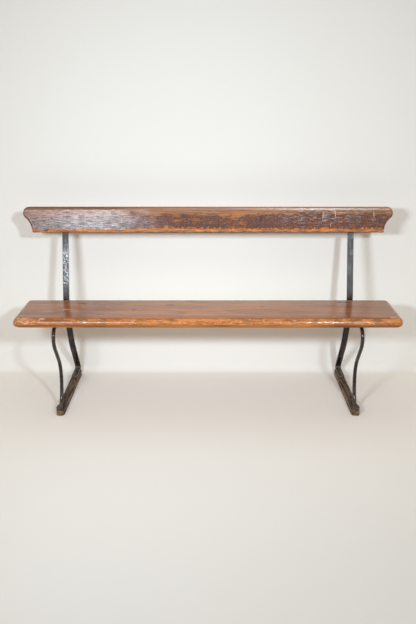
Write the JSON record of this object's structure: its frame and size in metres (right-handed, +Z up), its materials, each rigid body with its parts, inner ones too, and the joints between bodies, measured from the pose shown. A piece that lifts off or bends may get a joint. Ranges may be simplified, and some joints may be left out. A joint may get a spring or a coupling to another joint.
{
  "type": "garden bench",
  "caption": "Long plank bench with a shaped back board on forged iron end frames: flat raked back standards, serpentine round front legs and wooden foot runners.",
  "frame": {"origin": "on the floor, at the middle of the bench's length and depth", "axes": "+X along the bench, to the right when seen from the front, +Y towards the back, +Z up"},
  "size_m": [1.65, 0.522, 0.8529],
  "materials": {
    "seat_pine": "satin stained pine with worn round edges",
    "back_pine": "old crazed dark varnish on pine",
    "runner_wood": "bare weathered wood",
    "black_iron": "black paint over hammered wrought iron",
    "rivet_iron": "black paint over hammered rivet heads",
    "screw_steel": "old darkened steel"
  },
  "bodies": {
    "root": {"seat_plank": "seat_pine", "back_board": "back_pine", "left_back_standard": "black_iron", "left_front_leg": "black_iron", "left_seat_strap": "black_iron", "left_foot_runner": "runner_wood", "left_back_board_screws": "screw_steel", "left_seat_screws": "screw_steel", "left_front_foot_screw": "screw_steel", "left_rear_foot_screws": "screw_steel", "left_leg_rivets": "rivet_iron", "left_strap_rivets": "rivet_iron", "right_back_standard": "black_iron", "right_front_leg": "black_iron", "right_seat_strap": "black_iron", "right_foot_runner": "runner_wood", "right_back_board_screws": "screw_steel", "right_seat_screws": "screw_steel", "right_front_foot_screw": "screw_steel", "right_rear_foot_screws": "screw_steel", "right_leg_rivets": "rivet_iron", "right_strap_rivets": "rivet_iron"}
  },
  "joints": []
}
